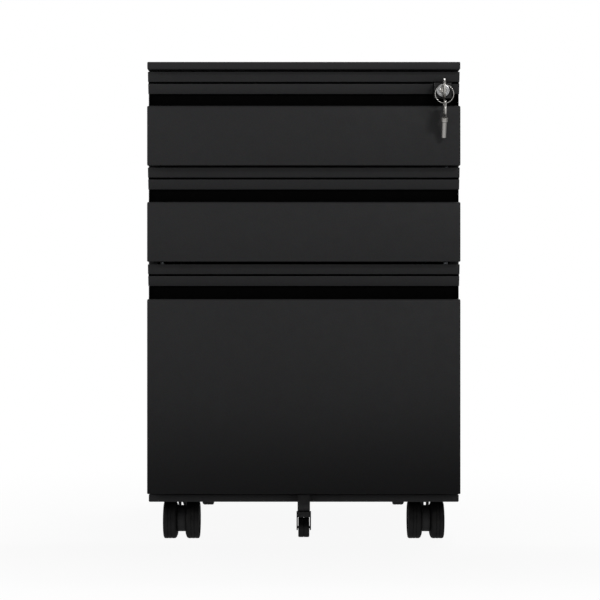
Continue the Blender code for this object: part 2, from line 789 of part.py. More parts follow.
def make_keys():
    nickel = new_material("key_nickel", NICKEL, 0.3, 1.0)
    ring_steel = new_material("key_ring_steel", NICKEL, 0.25, 1.0)
    hole = Vector((LOCK_X, FACE_Y + KEY_HOLE_DEPTH, LOCK_Z + KEY_HOLE_SIDE))
    into_lock = Matrix.Translation(hole) @ Matrix.Rotation(math.radians(90), 4, "X")
    key_mesh("key", into_lock, nickel)
    hang = KEY_HOLE_RADIUS - RING_WIRE - FIT / 2
    ring_top = hole - Vector((0, 0, hang))
    ring_centre = ring_top - Vector((0, 0, RING_RADIUS))
    bpy.ops.mesh.primitive_torus_add(
        major_radius=RING_RADIUS, minor_radius=RING_WIRE,
        major_segments=RING_STEPS, minor_segments=WIRE_STEPS,
    )
    ring = bpy.context.object
    ring.name = "key_ring"
    ring.data.materials.append(ring_steel)
    upright = Matrix.Rotation(math.radians(90), 4, "X")
    ring.data.transform(Matrix.Translation((0, 0, -RING_RADIUS)) @ upright)
    ring.location = ring_top
    for collection in list(ring.users_collection):
        collection.objects.unlink(ring)
    PARTS.objects.link(ring)
    ring_low = ring_centre - Vector((0, 0, RING_RADIUS))
    swing = Matrix.Translation(ring_low) @ Matrix.Rotation(SPARE_TILT, 4, "X")
    key_mesh("spare_key", swing @ Matrix.Translation((0, 0, -hang)), nickel)


# ---------------------------------------------------------------- casters
def make_caster(name, swivel, trail, plastic, tread):
    """A twin-wheel caster: swivel is its post's axis, and trail points from it to the axle."""
    axle_y = swivel.y + trail
    reach = WHEEL_SPACE / 2 + AXLE_REACH
    hood = cylinder(name + "_hood", (swivel.x, axle_y, AXLE_Z + HOOD_LIFT), HOOD_RADIUS, HOOD_WIDTH,
                    (1, 0, 0), 32, plastic)
    axle = cylinder("axle", (swivel.x, axle_y, AXLE_Z), AXLE_RADIUS, 2 * reach, (1, 0, 0),
                    PIN_STEPS, None, CUTTERS)
    combine(hood, axle, "UNION")
    boss_top = BASE_TOP - SHEET - FIT
    neck = box(
        "neck",
        (swivel.x - HOOD_WIDTH / 2 + FIT, min(swivel.y, axle_y), BOSS_BOTTOM),
        (swivel.x + HOOD_WIDTH / 2 - FIT, max(swivel.y, axle_y), boss_top - PLATE_SHEET),
        None,
        CUTTERS,
    )
    combine(hood, neck, "UNION")
    boss = cylinder("boss", (swivel.x, swivel.y, (BOSS_BOTTOM + boss_top) / 2), HOOD_WIDTH / 2,
                    boss_top - BOSS_BOTTOM, (0, 0, 1), 20, None, CUTTERS)
    combine(hood, boss, "UNION")
    flange = cylinder("flange", (swivel.x, swivel.y, boss_top - PLATE_SHEET / 2), PLATE_RADIUS,
                      PLATE_SHEET, (0, 0, 1), 24, None, CUTTERS)
    combine(hood, flange, "UNION")
    peep = box(
        "peep",
        (swivel.x - PEEP_WIDTH / 2, swivel.y - WHEEL_RADIUS, PEEP_TOP - PEEP_HEIGHT),
        (swivel.x + PEEP_WIDTH / 2, swivel.y + WHEEL_RADIUS, PEEP_TOP),
        None,
        CUTTERS,
    )
    combine(hood, peep, "DIFFERENCE")
    bore = AXLE_RADIUS + FIT
    # (radius, height) from the wheel's outer face down to its inner one.
    profile = [
        (0, WHEEL_WIDTH),
        (WHEEL_RADIUS - WHEEL_EDGE, WHEEL_WIDTH),
        (WHEEL_RADIUS, WHEEL_WIDTH - WHEEL_EDGE),
        (WHEEL_RADIUS, WHEEL_EDGE / 2),
        (WHEEL_RADIUS - WHEEL_EDGE / 2, 0),
        (bore, 0),
        (bore, WHEEL_WIDTH - HUB_FACE),
        (0, WHEEL_WIDTH - HUB_FACE),
    ]
    flat_down = Matrix.Rotation(math.pi / WHEEL_STEPS, 4, "Z")
    for side in (1, -1):
        place = Matrix.Translation((swivel.x + side * WHEEL_SPACE / 2, axle_y, AXLE_Z))
        outward = Matrix.Rotation(side * math.radians(90), 4, "Y")
        wheel = name + "_" + side_name(side) + "_wheel"
        turned(wheel, profile, WHEEL_STEPS, place @ outward @ flat_down, tread)


def make_casters():
    plastic = new_material("caster_hood_nylon", GREY_PLASTIC, 0.5)
    tread = new_material("caster_wheel_nylon", BLACK_PLASTIC, 0.6)
    front, rear = FACE_Y + FRONT_SWIVEL, BACK_Y - REAR_SWIVEL
    for side in (1, -1):
        x = side * (HALF - CASTER_X)
        for place, y, trail in (("front", front, -CASTER_TRAIL), ("rear", rear, CASTER_TRAIL)):
            name = place + "_" + side_name(side) + "_caster"
            make_caster(name, Vector((x, y, 0)), trail, plastic, tread)


def make_fifth_caster():
    paint = new_material("fifth_bracket_paint", PAINT, 0.5)
    plastic = new_material("fifth_fork_nylon", GREY_PLASTIC, 0.5)
    tread = new_material("fifth_wheel_nylon", BLACK_PLASTIC, 0.6)
    swivel_y = FACE_Y + FIFTH_SETBACK
    top = FRONT_LOWS["drawer_3"] - FIT
    bracket = box(
        "fifth_caster_bracket",
        (-BRACKET_WIDTH / 2, swivel_y - BRACKET_DEPTH / 2, BRACKET_BOTTOM),
        (BRACKET_WIDTH / 2, swivel_y + BRACKET_DEPTH / 2, top),
        paint,
    )
    edges = bracket.modifiers.new("Edges", "BEVEL")
    edges.width = FOLD_RADIUS
    edges.segments = 2

    axle_z = FIFTH_FLOOR_GAP + FIFTH_WHEEL_RADIUS
    axle_y = swivel_y - FIFTH_TRAIL
    crown_top = BRACKET_BOTTOM - FIT
    crown_low = axle_z + FIFTH_WHEEL_RADIUS + 2 * FIT
    half = FIFTH_WHEEL_WIDTH / 2 + 2 * FIT + FIFTH_FORK_SHEET
    fork = box("fifth_caster_fork", (-half, axle_y - BRACKET_DEPTH / 2, crown_low),
               (half, axle_y + BRACKET_DEPTH / 2, crown_top), plastic)
    for side in (1, -1):
        low, high = mirrored(
            (half - FIFTH_FORK_SHEET, axle_y - BRACKET_DEPTH / 2, axle_z - AXLE_RADIUS),
            (half, axle_y + BRACKET_DEPTH / 2, crown_low + SHEET),
            side,
        )
        combine(fork, box("fork_leg", low, high, None, CUTTERS), "UNION")
    axle = cylinder("fifth_axle", (0, axle_y, axle_z), AXLE_RADIUS / 2, 2 * half - FIFTH_FORK_SHEET,
                    (1, 0, 0), 12, None, CUTTERS)
    combine(fork, axle, "UNION")
    bore = AXLE_RADIUS / 2 + FIT
    rim = FIFTH_WHEEL_RADIUS - FOLD_RADIUS
    profile = [
        (bore, FIFTH_WHEEL_WIDTH),
        (rim, FIFTH_WHEEL_WIDTH),
        (FIFTH_WHEEL_RADIUS, FIFTH_WHEEL_WIDTH - FOLD_RADIUS),
        (FIFTH_WHEEL_RADIUS, FOLD_RADIUS),
        (rim, 0),
        (bore, 0),
        (bore, FIFTH_WHEEL_WIDTH),
    ]
    place = Matrix.Translation((-FIFTH_WHEEL_WIDTH / 2, axle_y, axle_z))
    sideways = Matrix.Rotation(math.radians(90), 4, "Y")
    turned("fifth_caster_wheel", profile, WHEEL_STEPS, place @ sideways, tread)


# ---------------------------------------------------------------- the whole cabinet
make_carcass()
make_posts()
for name in FRONT_TOPS:
    make_front(name)
    strip = make_pull_strip(name)
    trough = make_trough(name)
    tray = make_tray(name)
    if name == "drawer_1":
        combine(strip, housing_cut(FRONT_DEPTH + FIT), "DIFFERENCE")
        combine(trough, housing_cut(HOUSING_BACK + FIT / 2), "DIFFERENCE")
        combine(trough, lock_hole(2 * PLUG_CLEARANCE), "DIFFERENCE")
        combine(tray, lock_hole(2 * PLUG_CLEARANCE), "DIFFERENCE")
    make_slides(name)
make_file_rails(FRONT_TOPS["drawer_3"] - FILE_TRAY_DROP)
make_lock()
make_lock_bar()
make_keys()
make_casters()
make_fifth_caster()
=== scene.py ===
# %% [markdown]
# # A steel mobile filing cabinet
# A mechanical model of the cabinet already works: its drawers run, its lock turns and its casters roll.
# This notebook gives that frame its looks. Each step says what a piece or a finish is on the real
# cabinet, how it could be made in Blender, and why it is made this way here. All lengths are metres.

# %% Load the frame
import json
import math

import bmesh
import bpy
from mathutils import Matrix, Vector


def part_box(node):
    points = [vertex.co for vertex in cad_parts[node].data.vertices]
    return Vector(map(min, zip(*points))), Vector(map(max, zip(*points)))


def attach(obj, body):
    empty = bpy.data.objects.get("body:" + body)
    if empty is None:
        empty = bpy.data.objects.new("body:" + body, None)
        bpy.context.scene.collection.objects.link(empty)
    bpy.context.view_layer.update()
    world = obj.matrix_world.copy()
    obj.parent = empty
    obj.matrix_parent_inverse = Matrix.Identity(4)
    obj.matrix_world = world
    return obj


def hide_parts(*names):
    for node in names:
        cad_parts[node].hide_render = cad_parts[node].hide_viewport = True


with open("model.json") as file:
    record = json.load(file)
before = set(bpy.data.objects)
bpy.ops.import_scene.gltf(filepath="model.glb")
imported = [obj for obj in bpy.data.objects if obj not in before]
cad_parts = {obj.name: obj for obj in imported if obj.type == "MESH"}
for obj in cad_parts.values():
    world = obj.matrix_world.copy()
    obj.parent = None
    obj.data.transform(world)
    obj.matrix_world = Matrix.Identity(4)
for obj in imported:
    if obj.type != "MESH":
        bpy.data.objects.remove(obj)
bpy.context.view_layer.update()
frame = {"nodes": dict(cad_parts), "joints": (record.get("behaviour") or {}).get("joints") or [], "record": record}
record = frame["record"]
BODY_OF = {node: body for body, nodes in record["behaviour"]["bodies"].items() for node in nodes}
SLOT_OF = {part["node"]: part["material_slot"] for part in record["subparts"]}
JOINTS = {joint["name"]: joint for joint in frame["joints"]}

# %% [markdown]
# ## Colours
# Paint makers and web pages give colours as sRGB hex values, but shaders work in linear light. One small
# function turns the first into the second, so that every colour below can be written the usual way. The
# curve between the two is straight near black and a power of 2.4 above that.


# %% From hex to linear
FRONT_DARK = "#2f2f30"
FRONT_LIGHT = "#323233"


def linear(hex_colour):
    channels = [int(hex_colour[i:i + 2], 16) / 255 for i in (1, 3, 5)]
    return [c / 12.92 if c <= 0.04045 else ((c + 0.055) / 1.055) ** 2.4 for c in channels] + [1.0]


print("black powder coat in linear light:", [round(c, 4) for c in linear(FRONT_DARK)])

# %% [markdown]
# ## Adding nodes
# A finish is a small tree of nodes. Each could be added with its own few lines, but they all need the
# same three things: some options, some values and some links. One function does all three. Three more
# name the steps that come back in every finish: a noise of a given size, a change of range, and a blend
# of two colours.


# %% One function for every node
def add_node(tree, kind, inputs=None, **settings):
    node = tree.nodes.new(kind)
    for name, value in settings.items():
        setattr(node, name, value)
    for socket, value in (inputs or {}).items():
        if isinstance(value, bpy.types.NodeSocket):
            tree.links.new(value, node.inputs[socket])
        else:
            node.inputs[socket].default_value = value
    return node


def noise(tree, place, size, detail):
    return add_node(tree, "ShaderNodeTexNoise", {"Vector": place, "Scale": 1 / size, "Detail": detail})


def ranged(tree, value, source, target, **settings):
    inputs = {"Value": value, "From Min": source[0], "From Max": source[1]}
    inputs.update({"To Min": target[0], "To Max": target[1]})
    return add_node(tree, "ShaderNodeMapRange", inputs, **settings).outputs["Result"]


def blended(tree, share, first, second, **settings):
    inputs = {0: share, 6: first, 7: second}
    return add_node(tree, "ShaderNodeMix", inputs, data_type="RGBA", **settings).outputs[2]


def new_finish(name, metallic=0.0, ior=None):
    material = bpy.data.materials.new(name)
    material.use_nodes = True
    tree = material.node_tree
    shader = tree.nodes["Principled BSDF"]
    shader.inputs["Metallic"].default_value = metallic
    if ior:
        shader.inputs["IOR"].default_value = ior
    place = add_node(tree, "ShaderNodeTexCoord").outputs["Object"]
    return material, tree, shader, place


print("finishes read each piece's own coordinates, in metres")

# %% [markdown]
# ## Powder-coated steel
# The carcass, the fronts and the trays are cold-rolled steel with a black polyester powder baked on. The
# powder melts into a skin with a soft, slightly pebbled surface, which is why the big faces look even and
# satin and never show a sharp reflection. The pebbles are about 0.5 mm across on the real cabinet. That
# is finer than the render shows, so they are drawn at 1.5 mm. A slower wave, the orange peel, is 7 mm
# long. Handling polishes the folded edges a little: the Bevel node finds the edges, and a noise breaks
# the line up. The lighter colour on those edges is partly rubbed paint and partly a painted highlight, a
# sheen that makes the folds look rounded.

# %% Black powder coat
PEBBLE = 0.0015
PEBBLE_HEIGHT = 0.00003
PEEL = 0.007
PEEL_HEIGHT = 0.00004
CLOUD = 0.09
SCUFF = 0.012
EDGE_WIDTH = 0.0012
EDGE_TURN = (0.99, 0.86)
WEAR_AND_SHEEN_PATCH = (0.42, 0.62)
SPECKLE = 0.3
NOISE_RANGE = (0.3, 0.7)
SATIN = (0.52, 0.64)
POLISHED = 0.42
PAINT_IOR = 1.5
PAINT_SHINE = 0.22


def powder_coat(name, dark, light, worn_and_sheen_colour):
    material, tree, shader, place = new_finish(name, ior=PAINT_IOR)
    shader.inputs["Specular IOR Level"].default_value = PAINT_SHINE
    pebble = noise(tree, place, PEBBLE, 2.0)
    peel = noise(tree, place, PEEL, 1.0)
    cloud = noise(tree, place, CLOUD, 4.0)
    scuff = noise(tree, place, SCUFF, 5.0)
    waves = add_node(tree, "ShaderNodeBump", {"Height": peel.outputs["Fac"], "Distance": PEEL_HEIGHT})
    skin = add_node(
        tree, "ShaderNodeBump",
        {"Height": pebble.outputs["Fac"], "Distance": PEBBLE_HEIGHT, "Normal": waves.outputs["Normal"]},
    )
    tree.links.new(skin.outputs["Normal"], shader.inputs["Normal"])
    rounded = add_node(tree, "ShaderNodeBevel", {"Radius": EDGE_WIDTH}, samples=4)
    flat = add_node(tree, "ShaderNodeNewGeometry")
    facing = add_node(
        tree, "ShaderNodeVectorMath", {0: rounded.outputs["Normal"], 1: flat.outputs["Normal"]},
        operation="DOT_PRODUCT",
    )
    edge = ranged(tree, facing.outputs["Value"], EDGE_TURN, (0.0, 1.0))
    patchy = ranged(tree, scuff.outputs["Fac"], WEAR_AND_SHEEN_PATCH, (0.0, 1.0))
    wear_and_sheen = add_node(tree, "ShaderNodeMath", {0: edge, 1: patchy}, operation="MULTIPLY").outputs["Value"]
    clouded = blended(tree, cloud.outputs["Fac"], linear(dark), linear(light))
    speckled = blended(tree, SPECKLE, clouded, pebble.outputs["Color"], blend_type="SOFT_LIGHT")
    # painted highlight: the lighter edge colour is partly rubbed paint and partly a sheen along the folds
    tree.links.new(blended(tree, wear_and_sheen, speckled, linear(worn_and_sheen_colour)), shader.inputs["Base Color"])
    satin = ranged(tree, scuff.outputs["Fac"], NOISE_RANGE, SATIN)
    polished = add_node(tree, "ShaderNodeMix", {0: wear_and_sheen, 2: satin, 3: POLISHED}, data_type="FLOAT")
    tree.links.new(polished.outputs[0], shader.inputs["Roughness"])
    return material


front_coat = powder_coat("fine_black_powder_coat_on_steel", FRONT_DARK, FRONT_LIGHT, "#48484a")
tray_coat = powder_coat("black_powder_coat_inside_drawers", "#262627", "#2b2b2c", "#3c3c3e")
print("powder coat pebbles drawn at", PEBBLE * 1000, "mm")

# %% [markdown]
# ## Moulded ABS and nylon
# The grip trough and the lock surround are injection-moulded ABS, and the caster hoods and wheels are
# moulded nylon. A mould leaves the texture of its own spark-eroded steel, a fine even grain with little
# gloss. It is about 0.1 mm on the real part and is drawn at 0.8 mm. Wheels also pick up pale floor dust,
# which sits where a slow noise puts it. The trough's ABS is made near black with almost no shine: partly
# its own black, and partly painted shade, so the grip recess reads as dark as a deep shadow.

# %% Moulded plastics
MOULD_GRAIN = 0.0008
GRAIN_HEIGHT = 0.00002
DUST_PATCH = 0.009
DUST_RANGE = (0.45, 0.75)
GLOSS_SPREAD = 0.07


def moulded(name, colour, dust, roughness, dust_share, ior, shine=0.5):
    material, tree, shader, place = new_finish(name, ior=ior)
    shader.inputs["Specular IOR Level"].default_value = shine
    grain = noise(tree, place, MOULD_GRAIN, 1.0)
    patch = noise(tree, place, DUST_PATCH, 6.0).outputs["Fac"]
    texture = add_node(tree, "ShaderNodeBump", {"Height": grain.outputs["Fac"], "Distance": GRAIN_HEIGHT})
    tree.links.new(texture.outputs["Normal"], shader.inputs["Normal"])
    dusty = ranged(tree, patch, DUST_RANGE, (0.0, dust_share))
    tree.links.new(blended(tree, dusty, linear(colour), linear(dust)), shader.inputs["Base Color"])
    gloss = ranged(tree, patch, NOISE_RANGE, (roughness - GLOSS_SPREAD, roughness + GLOSS_SPREAD))
    tree.links.new(gloss, shader.inputs["Roughness"])
    return material


# painted shade: the trough's near-black, almost shineless colour is partly black ABS and partly the shade of the
# grip recess; the groove strips use it too
black_abs_and_painted_shade = moulded("matt_black_abs_and_painted_shade", "#030303", "#060606", 0.85, 0.2, 1.52, 0.05)
housing_abs = moulded("satin_black_moulded_abs", "#0c0c0c", "#181818", 0.5, 0.2, 1.5)
hood_nylon = moulded("dark_grey_moulded_nylon", "#2a2a2b", "#3c3b39", 0.55, 0.25, 1.53, 0.3)
wheel_nylon = moulded("black_rolled_nylon_tread", "#151516", "#2b2926", 0.55, 0.4, 1.53, 0.25)
rubber = moulded("black_moulded_rubber", "#0d0d0d", "#1c1b1a", 0.8, 0.3, 1.52)
print("moulded grain drawn at", MOULD_GRAIN * 1000, "mm")

# %% [markdown]
# ## Plated metals
# Slides and rails are rolled from zinc-plated strip: a cool grey with long streaks from the rolls and a
# cloudy passivation film. The posts are hot-dip galvanised, with crystals, called spangle, some 12 mm
# wide. The lock plug is polished chrome over a die casting, and the keys are nickel over stamped brass,
# softer and warmer, with hairline scratches. Metals keep the default IOR and take their colour as
# reflection.

# %% Zinc, spangle, chrome and nickel
STREAK_WIDTH = 0.0006
STREAK_LENGTH = 0.05
FILM_PATCH = 0.03
SPANGLE = 0.012
HAIRLINE = 0.0007


def plated(name, colour, film, roughness, stretch, size, height):
    material, tree, shader, place = new_finish(name, metallic=1.0)
    drawn = add_node(tree, "ShaderNodeMapping", {"Vector": place, "Scale": stretch}, vector_type="POINT")
    marks = noise(tree, drawn.outputs["Vector"], size, 3.0).outputs["Fac"]
    cloud = noise(tree, place, FILM_PATCH, 4.0).outputs["Fac"]
    tree.links.new(blended(tree, cloud, linear(colour), linear(film)), shader.inputs["Base Color"])
    tree.links.new(ranged(tree, marks, NOISE_RANGE, roughness), shader.inputs["Roughness"])
    lines = add_node(tree, "ShaderNodeBump", {"Height": marks, "Distance": height})
    tree.links.new(lines.outputs["Normal"], shader.inputs["Normal"])
    return material


def spangled(name, colour, film, roughness):
    material, tree, shader, place = new_finish(name, metallic=1.0)
    crystal = add_node(tree, "ShaderNodeTexVoronoi", {"Vector": place, "Scale": 1 / SPANGLE})
    shade = add_node(tree, "ShaderNodeSeparateColor", {"Color": crystal.outputs["Color"]})
    tint = blended(tree, shade.outputs["Red"], linear(colour), linear(film))
    tree.links.new(tint, shader.inputs["Base Color"])
    gloss = ranged(tree, shade.outputs["Green"], (0.0, 1.0), roughness)
    tree.links.new(gloss, shader.inputs["Roughness"])
    return material


ALONG_RUN = (1.0, STREAK_WIDTH / STREAK_LENGTH, 1.0)
ACROSS_KEY = (1, 1, 6)
EVEN = (1.0, 1.0, 1.0)
slide_zinc = plated(
    "zinc_plated_rolled_steel", "#b4b7ba", "#9da2a8", (0.26, 0.42), ALONG_RUN, STREAK_WIDTH, 0.000004)
post_zinc = spangled("hot_dip_galvanised_steel", "#a9adb0", "#8d9297", (0.34, 0.52))
plug_chrome = plated("chrome_plated_die_casting", "#e6e7e9", "#dadcde", (0.1, 0.2), EVEN, HAIRLINE, 0.000001)
key_nickel = plated(
    "nickel_plated_stamped_brass", "#e2e0dc", "#cfccc7", (0.24, 0.38), ACROSS_KEY, HAIRLINE, 0.000004)
ring_nickel = plated(
    "nickel_plated_spring_wire", "#e8e6e2", "#d8d6d2", (0.18, 0.28), EVEN, HAIRLINE, 0.000002)
screw_zinc = plated("black_zinc_screw", "#3a3b3d", "#2c2d2f", (0.3, 0.44), EVEN, HAIRLINE, 0.000003)
FINISH = {
    "carcass_paint": front_coat,
    "front_paint": front_coat,
    "tray_paint": tray_coat,
    "trough_plastic": black_abs_and_painted_shade,
    "zinc_steel": slide_zinc,
    "lock_plastic": housing_abs,
    "lock_chrome": plug_chrome,
    "key_nickel": key_nickel,
    "ring_steel": ring_nickel,
    "caster_nylon": hood_nylon,
    "wheel_nylon": wheel_nylon,
}
print(len(FINISH), "slots have a finish")

# %% [markdown]
# ## Putting a piece in place
# A piece is built as a bmesh, in the cabinet's own coordinates, then becomes an object that rides on one
# of the frame's bodies. Round forms are shaded smooth and folds stay crisp, by the angle between faces.

# %% From bmesh to a riding piece
SMOOTH_BELOW = math.radians(38)


def put(name, work, body, slot, finish=None, stands_for=()):
    bmesh.ops.recalc_face_normals(work, faces=work.faces)
    mesh = bpy.data.meshes.new(name)
    work.to_mesh(mesh)
    work.free()
    mesh.shade_smooth()
    mesh.set_sharp_from_angle(angle=SMOOTH_BELOW)
    mesh.materials.append(finish or FINISH[slot])
    piece = bpy.data.objects.new(name, mesh)
    bpy.context.scene.collection.objects.link(piece)
    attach(piece, body)
    if stands_for:
        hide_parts(*stands_for)
    return piece


print("round forms stay smooth below", round(math.degrees(SMOOTH_BELOW)), "degrees")

# %% [markdown]
# ## Rounding what was only mechanical
# The frame's solids have dead sharp edges and come as triangles. Real sheet metal is folded over a tool
# and real mouldings have radii, so each edge catches a thin line of light. A Bevel modifier could do it,
# but it trips over the triangles. So a copy of the solid is first merged back into flat faces, then its
# edges are beveled with three segments, and the copy stands for the sharp solid.

# %% A rounded copy of a frame solid
SAME_POINT = 1e-6
FLAT = math.radians(0.6)
SHARP = math.radians(30)
EDGE_SEGMENTS = 3


def copy_of(node):
    work = bmesh.new()
    work.from_mesh(frame["nodes"][node].data)
    bmesh.ops.remove_doubles(work, verts=work.verts, dist=SAME_POINT)
    bmesh.ops.dissolve_limit(work, angle_limit=FLAT, verts=work.verts, edges=work.edges)
    return work


def soften(work, radius):
    edges = [edge for edge in work.edges if edge.is_manifold and edge.calc_face_angle() > SHARP]
    bmesh.ops.bevel(
        work, geom=edges, offset=radius, segments=EDGE_SEGMENTS, profile=0.5, affect="EDGES",
        clamp_overlap=True,
    )
    bmesh.ops.remove_doubles(work, verts=work.verts, dist=SAME_POINT)
    return work


def rounded_copy(node, radius, finish=None):
    work = soften(copy_of(node), radius)
    return put(node + "_rounded", work, BODY_OF[node], SLOT_OF[node], finish, (node,))


print("edges sharper than", round(math.degrees(SHARP)), "degrees are rounded")

# %% [markdown]
# ## The carcass and the drawers
# The carcass is a folded wrapper with hemmed edges, and each front is one folded sheet with a rolled lip
# to pull on. The sheet is 0.9 mm thick, so its raw edges round to less than half of that. All of these
# are rounded copies, because the frame already holds every fold and lip at its real size.

# %% Sheet parts
SHEET = 0.0009
SHEET_EDGE = SHEET / 3
for node in ("top_cover", "base_pan", "left_side_panel", "right_side_panel", "back_panel"):
    rounded_copy(node, SHEET_EDGE)
for number in (1, 2, 3):
    for part in ("front", "pull_strip", "tray", "trough"):
        rounded_copy(f"drawer_{number}_{part}", SHEET_EDGE)
print("sheet edges rounded to", round(SHEET_EDGE * 1000, 2), "mm")

# %% [markdown]
# ## Painted shade in the grooves
# A groove runs between the two leaning bands of each pull strip. A strip of matt black plastic is laid in
# it as painted shade, so the groove stays an almost black line in any light, as if in deep shadow. It
# could be painted on, but a strip of its own also keeps its depth from the side. Each length is a box with
# rounded edges, and it stops short of the lock.

# %% Painted shade strips
BAND_HEIGHT = 0.0122
GROOVE_FLOOR = 0.0022
SHADE_STRIP_THICK = 0.0012
SHADE_STRIP_GAP = 0.0001
SHADE_STRIP_EDGE = 0.0003


def strip(low, high, radius):
    work = bmesh.new()
    bmesh.ops.create_cube(work, size=1.0)
    size = Matrix.Diagonal((*(high - low), 1))
    bmesh.ops.transform(work, matrix=Matrix.Translation((low + high) / 2) @ size, verts=work.verts)
    return soften(work, radius)


lock_low, lock_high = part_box("lock_housing")
for number in (1, 2, 3):
    low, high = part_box(f"drawer_{number}_pull_strip")
    floor_y = high.y - GROOVE_FLOOR
    runs = [(low.x, high.x)]
    if number == 1:
        runs = [(low.x, lock_low.x - SHEET), (lock_high.x + SHEET, high.x)]
    for run, (start, end) in enumerate(runs):
        corner = Vector((start + SHEET, floor_y - SHADE_STRIP_THICK, low.z + BAND_HEIGHT + SHADE_STRIP_GAP))
        far = Vector((end - SHEET, floor_y - SHADE_STRIP_GAP, high.z - BAND_HEIGHT - SHADE_STRIP_GAP))
        name = f"drawer_{number}_groove_seal_{run + 1}"
        # painted shade: a black strip where the groove would only be in shadow
        put(name, strip(corner, far, SHADE_STRIP_EDGE), f"drawer_{number}", "trough_plastic")
        print(name, "is", round((far.x - corner.x) * 1000), "mm long")

# %% [markdown]
# ## Slides, posts and rails
# Slides are roll-formed channels that nest in each other, the posts that hold them are folded strip, and
# the file drawer has two L-shaped rails for hanging folders. Rolled strip has the same small edge radius
# as the sheet, so the same copy works. The posts get the spangled finish.

# %% Slides, posts and rails
for node in sorted(BODY_OF):
    if node.endswith(("_slide", "_rail")):
        rounded_copy(node, SHEET_EDGE)
    if node.endswith("_post"):
        rounded_copy(node, SHEET_EDGE, post_zinc)
print(sum(node.endswith("_slide") for node in BODY_OF), "slide members")

# %% [markdown]
# ## Turned pieces
# Wheels, rivets, bumpers and a key's shank are round about one axis. Each could be a cylinder with
# bevels, but a turned section holds more: it is half of the piece's cut face, a list of (radius, height)
# points, spun about Z. Then the piece is turned to its own axis, moved, and joined with others of its
# kind.

# %% Spin, move and join
STEPS = 96
TO_FRONT = Matrix.Rotation(math.radians(90), 4, "X")
TO_BACK = Matrix.Rotation(math.radians(-90), 4, "X")


def turned(section, steps=STEPS):
    work = bmesh.new()
    points = [work.verts.new((radius, 0, along)) for radius, along in section]
    edges = [work.edges.new(pair) for pair in zip(points, points[1:])]
    bmesh.ops.spin(
        work, geom=points + edges, cent=(0, 0, 0), axis=(0, 0, 1), angle=2 * math.pi, steps=steps,
        use_merge=True,
    )
    bmesh.ops.remove_doubles(work, verts=work.verts, dist=SAME_POINT)
    return work


def moved(work, *places):
    for place in places:
        bmesh.ops.transform(work, matrix=place, verts=work.verts)
    return work


def at(x, y, z):
    return Matrix.Translation((x, y, z))


def to_side(side):
    return Matrix.Rotation(side * math.radians(90), 4, "Y")


def joined(works):
    whole = bmesh.new()
    for work in works:
        mesh = bpy.data.meshes.new("joined")
        work.to_mesh(mesh)
        work.free()
        whole.from_mesh(mesh)
        bpy.data.meshes.remove(mesh)
    return whole


print("turned pieces have", STEPS, "steps")

# %% [markdown]
# ## Rivets
# A blind rivet is set from one side: its dome is about 6 mm across, with the broken stem of its mandrel
# in the middle. Rivets hold each tray to the slides beside it, so every joint has a dome inside the tray
# and a smaller upset head inside the channel. They are all turned from two short sections.

# %% Rivets in the trays and slides
DOME = [(0, 0.0005), (0.0008, 0.0005), (0.001, 0.0012), (0.0019, 0.001), (0.0027, 0.0005), (0.003, 0),
        (0, 0)]
UPSET = [(0, 0.0011), (0.0014, 0.001), (0.0021, 0.0006), (0.0022, 0), (0, 0)]
RIVET_SHARES = (0.06, 0.38, 0.7, 0.95)
RIVET_STEPS = 32
SLIDE_SHEET = 0.0012


def wall_of(tray):
    points = [vertex.co for vertex in frame["nodes"][tray].data.vertices if vertex.co.y > 0]
    return max(p.x for p in points), max(p.y for p in points), max(p.z for p in points)


for number in (1, 2, 3):
    stem = f"drawer_{number}_"
    wall_x, wall_y, wall_z = wall_of(stem + "tray")
    heads = []
    for side, name in ((-1, "left"), (1, "right")):
        low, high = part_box(f"{stem}{name}_inner_slide")
        web = max(low.x, -high.x) + SLIDE_SHEET
        z = (low.z + high.z) / 2
        for share in RIVET_SHARES:
            y = low.y + share * (high.y - low.y)
            inside = at(side * (wall_x - SHEET), y, z)
            heads.append(moved(turned(DOME, RIVET_STEPS), to_side(-side), inside))
            heads.append(moved(turned(UPSET, RIVET_STEPS), to_side(side), at(side * web, y, z)))
    put(stem + "rivets", joined(heads), f"drawer_{number}", "zinc_steel")
    print("drawer", number, "has", len(heads) // 2, "rivets, and its wall is", round(wall_z, 3), "high")

# %% [markdown]
# ## Rolled hems on the small trays
# The raw edge of a tray would cut a hand, so it is rolled over into a bead. A curve with a round bevel
# draws the bead along the two sides and the back, and is then made a mesh like everything else. The file
# tray has no bead, because the rails cover its edges.

# %% A wire or bead along a line
def from_curve(data):
    guide = bpy.data.objects.new("guide", data)
    bpy.context.scene.collection.objects.link(guide)
    bpy.context.view_layer.update()
    mesh = bpy.data.meshes.new_from_object(guide.evaluated_get(bpy.context.evaluated_depsgraph_get()))
    work = bmesh.new()
    work.from_mesh(mesh)
    bpy.data.objects.remove(guide)
    bpy.data.curves.remove(data)
    bpy.data.meshes.remove(mesh)
    bmesh.ops.remove_doubles(work, verts=work.verts, dist=SAME_POINT)
    return work


def wire(points, radius, closed=False):
    data = bpy.data.curves.new("wire", "CURVE")
    data.dimensions = "3D"
    data.bevel_depth = radius
    data.bevel_resolution = 3
    data.use_fill_caps = True
    run = data.splines.new("POLY")
    run.points.add(len(points) - 1)
    for point, place in zip(run.points, points):
        point.co = (*place, 1)
    run.use_cyclic_u = closed
    return from_curve(data)


